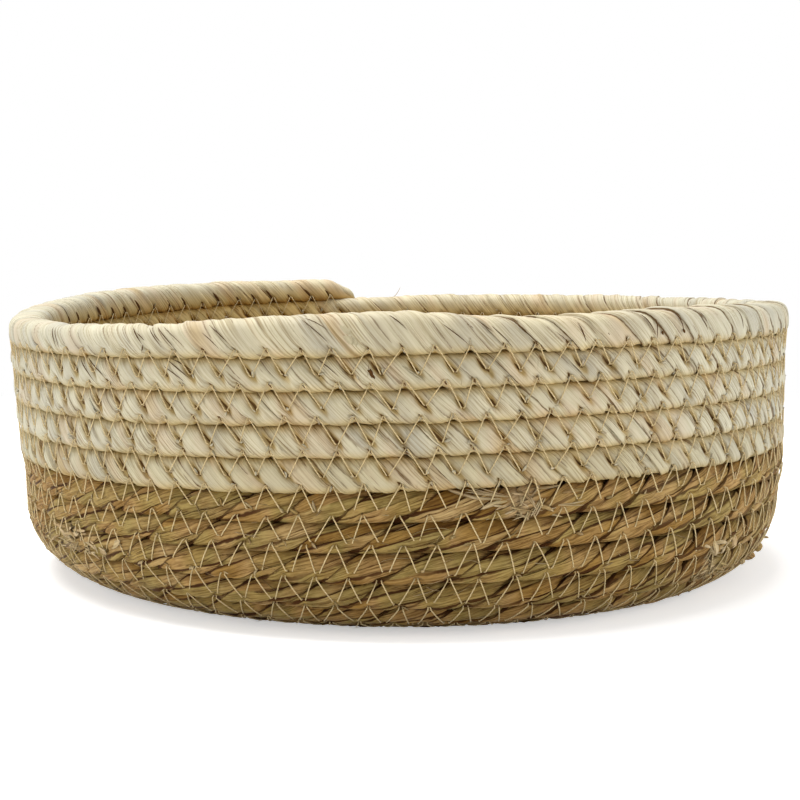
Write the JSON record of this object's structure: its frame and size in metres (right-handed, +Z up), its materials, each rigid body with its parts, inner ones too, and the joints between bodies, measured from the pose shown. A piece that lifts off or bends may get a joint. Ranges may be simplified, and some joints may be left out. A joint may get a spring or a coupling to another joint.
{
  "type": "seagrass basket",
  "caption": "Round low coiled basket: one continuous sewn coil, seagrass rope below and husk-wrapped straw above, with a flat base, soft corner and thicker rim.",
  "frame": {"origin": "on the basket's axis, at the underside of the flat base", "axes": "+Z up through the open top, -Y towards the front of the picture, +X to the picture's right"},
  "size_m": [0.3198, 0.3194, 0.115],
  "materials": {
    "seagrass": "matte",
    "corn_husk": "matte",
    "straw": "matte"
  },
  "bodies": {
    "root": {"seagrass_rope_1": "seagrass", "seagrass_rope_2": "seagrass", "seagrass_rope_3": "seagrass", "seagrass_rope_4": "seagrass", "seagrass_rope_5": "seagrass", "seagrass_rope_6": "seagrass", "seagrass_rope_7": "seagrass", "seagrass_rope_8": "seagrass", "seagrass_rope_9": "seagrass", "husk_wrap_1": "corn_husk", "husk_wrap_2": "corn_husk", "husk_wrap_3": "corn_husk", "husk_wrap_4": "corn_husk", "husk_wrap_rim": "corn_husk", "straw_core_lower": "straw", "straw_core_upper": "straw"}
  },
  "joints": []
}
